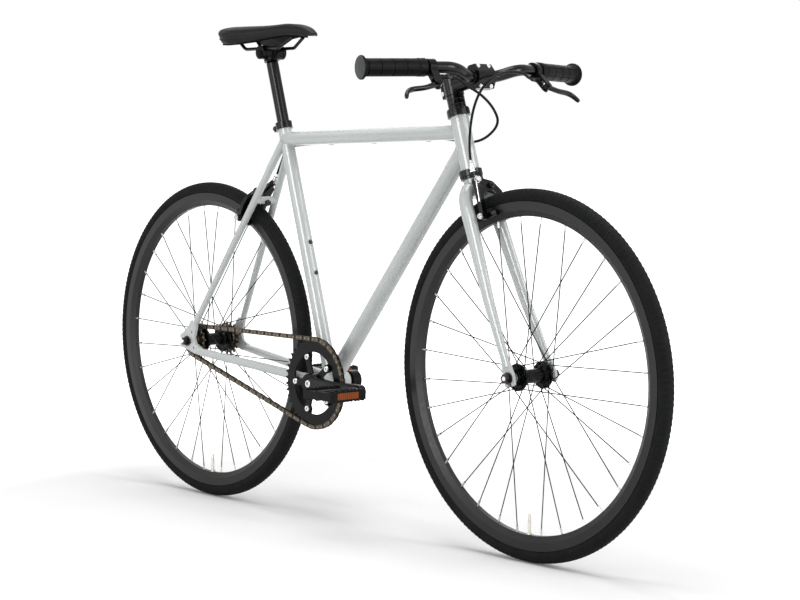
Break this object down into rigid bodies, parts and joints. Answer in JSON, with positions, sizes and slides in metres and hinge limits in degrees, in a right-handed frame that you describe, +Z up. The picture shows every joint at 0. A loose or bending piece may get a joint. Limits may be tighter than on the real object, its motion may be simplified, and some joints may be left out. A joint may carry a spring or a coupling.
{
  "type": "fixed gear bicycle",
  "caption": "Diamond-frame fixed gear bicycle with spoked wheels, flat bar, side-pull rim brakes and chain drive",
  "frame": {"origin": "on the ground midway between the wheel axles, on the bicycle's mid-plane", "axes": "+X forwards, +Y to the rider's left, +Z up"},
  "size_m": [1.66, 0.547, 1.0073],
  "materials": {
    "frame_paint": "gloss light grey paint",
    "black_paint": "gloss black paint on steel",
    "black_alloy": "black coated aluminium",
    "silver_steel": "bright steel",
    "black_steel": "black steel",
    "chain_steel": "bronze-brown chain steel",
    "tyre_rubber": "matte tyre rubber",
    "black_rubber": "matte rubber",
    "saddle_vinyl": "smooth black cover over foam",
    "black_plastic": "matte plastic",
    "cable_sleeve": "glossy cable housing",
    "amber": "amber reflector"
  },
  "bodies": {
    "frame": {"main_triangle": "frame_paint", "rear_triangle": "frame_paint", "headset_cups": "black_alloy", "bottom_bracket_cups": "black_alloy", "frame_bolts": "silver_steel", "cable_guides": "frame_paint", "rear_brake_cable": "cable_sleeve", "seat_collar": "black_alloy", "rear_axle": "silver_steel", "rear_axle_nuts": "black_steel", "rear_brake_bolt": "silver_steel", "chain": "chain_steel"},
    "seat": {"seatpost": "black_alloy", "saddle_clamp": "black_alloy", "saddle_rails": "black_paint", "saddle_base": "black_plastic", "saddle_cover": "saddle_vinyl"},
    "steering": {"fork": "frame_paint", "headset_bearings": "silver_steel", "headset_spacers": "black_alloy", "stem": "black_alloy", "stem_faceplate": "black_alloy", "stem_bolts": "silver_steel", "top_cap": "black_alloy", "handlebar": "black_alloy", "grips": "black_rubber", "lever_brackets": "black_alloy", "front_axle": "silver_steel", "front_axle_nuts": "black_steel", "front_brake_bolt": "silver_steel", "front_brake_cable": "cable_sleeve", "rear_brake_cable_loop": "cable_sleeve"},
    "front_wheel": {"front_hub": "black_alloy", "front_spokes": "black_steel", "front_rim": "black_alloy", "front_tyre": "tyre_rubber", "front_tube": "black_rubber"},
    "rear_wheel": {"rear_hub": "black_alloy", "rear_spokes": "black_steel", "rear_rim": "black_alloy", "rear_tyre": "tyre_rubber", "rear_tube": "black_rubber", "fixed_cog": "silver_steel"},
    "freewheel_body": {"freewheel": "silver_steel"},
    "crankset": {"crank_spindle": "silver_steel", "crank_arm_right": "black_alloy", "crank_arm_left": "black_alloy", "chainring": "black_alloy", "crank_bolts": "silver_steel", "pedal_spindles": "silver_steel"},
    "pedal_right_body": {"pedal_right": "black_plastic", "pedal_reflectors_right": "amber"},
    "pedal_left_body": {"pedal_left": "black_plastic", "pedal_reflectors_left": "amber"},
    "lever_right": {"brake_lever_right": "black_alloy"},
    "lever_left": {"brake_lever_left": "black_alloy"},
    "front_arm_right": {"front_caliper_arm_right": "black_alloy"},
    "front_arm_left": {"front_caliper_arm_left": "black_alloy"},
    "rear_arm_right": {"rear_caliper_arm_right": "black_alloy"},
    "rear_arm_left": {"rear_caliper_arm_left": "black_alloy"}
  },
  "joints": [
    {"name": "steering_turn", "type": "hinge", "parent": "frame", "child": "steering", "pos_m": [0.3154, 0, 0.75718], "axis": [-0.2924, 0, 0.9563], "range_deg": [-60, 60], "deforming": ["rear_brake_cable_loop"]},
    {"name": "front_wheel_spin", "type": "hinge", "parent": "steering", "child": "front_wheel", "pos_m": [0.49, 0, 0.34], "axis": [0, 1, 0], "continuous": true},
    {"name": "rear_wheel_spin", "type": "hinge", "parent": "frame", "child": "rear_wheel", "pos_m": [-0.49, 0, 0.34], "axis": [0, 1, 0], "continuous": true, "deforming": ["chain"]},
    {"name": "freewheel_spin", "type": "hinge", "parent": "rear_wheel", "child": "freewheel_body", "pos_m": [-0.49, 0, 0.34], "axis": [0, 1, 0], "continuous": true},
    {"name": "crank_spin", "type": "hinge", "parent": "frame", "child": "crankset", "pos_m": [-0.07883, 0, 0.282], "axis": [0, 1, 0], "continuous": true, "deforming": ["chain"]},
    {"name": "pedal_right_spin", "type": "hinge", "parent": "crankset", "child": "pedal_right_body", "pos_m": [0.09117, 0, 0.282], "axis": [0, 1, 0], "continuous": true},
    {"name": "pedal_left_spin", "type": "hinge", "parent": "crankset", "child": "pedal_left_body", "pos_m": [-0.24883, 0, 0.282], "axis": [0, 1, 0], "continuous": true},
    {"name": "brake_lever_right_pull", "type": "hinge", "parent": "steering", "child": "lever_right", "pos_m": [0.39176, -0.13654, 0.86674], "axis": [-0.6962, 0.175, -0.6962], "range_deg": [0, 18], "stiffness_Nm_per_rad": 1.5, "springref_deg": -5.73, "deforming": ["rear_brake_cable_loop"]},
    {"name": "brake_lever_left_pull", "type": "hinge", "parent": "steering", "child": "lever_left", "pos_m": [0.39176, 0.13654, 0.86674], "axis": [0.6962, 0.175, 0.6962], "range_deg": [0, 18], "stiffness_Nm_per_rad": 1.5, "springref_deg": -5.73, "deforming": ["front_brake_cable"]},
    {"name": "front_arm_left_swing", "type": "hinge", "parent": "steering", "child": "front_arm_left", "pos_m": [0.35912, 0, 0.67643], "axis": [-0.9563, 0, -0.2924], "range_deg": [0, 2], "deforming": ["front_brake_cable"]},
    {"name": "front_arm_right_swing", "type": "hinge", "parent": "steering", "child": "front_arm_right", "pos_m": [0.35912, 0, 0.67643], "axis": [0.9563, 0, 0.2924], "range_deg": [0, 2], "deforming": ["front_brake_cable"]},
    {"name": "rear_arm_right_swing", "type": "hinge", "parent": "frame", "child": "rear_arm_right", "pos_m": [-0.3051, 0, 0.64894], "axis": [0.8498, 0, -0.5271], "range_deg": [0, 2], "deforming": ["rear_brake_cable"]},
    {"name": "rear_arm_left_swing", "type": "hinge", "parent": "frame", "child": "rear_arm_left", "pos_m": [-0.3051, 0, 0.64894], "axis": [-0.8498, 0, 0.5271], "range_deg": [0, 2], "deforming": ["rear_brake_cable"]},
    {"name": "seatpost_slide", "type": "slide", "parent": "frame", "child": "seat", "axis": [-0.2857, 0, 0.9583], "range_m": [-0.08, 0.05]}
  ],
  "couplings": [
    {"joint": "crank_spin", "follows": "rear_wheel_spin", "ratio": 0.36364},
    {"joint": "front_arm_left_swing", "follows": "brake_lever_left_pull", "ratio": 0.11},
    {"joint": "front_arm_right_swing", "follows": "brake_lever_left_pull", "ratio": 0.11},
    {"joint": "rear_arm_left_swing", "follows": "brake_lever_right_pull", "ratio": 0.11},
    {"joint": "rear_arm_right_swing", "follows": "brake_lever_right_pull", "ratio": 0.11}
  ]
}
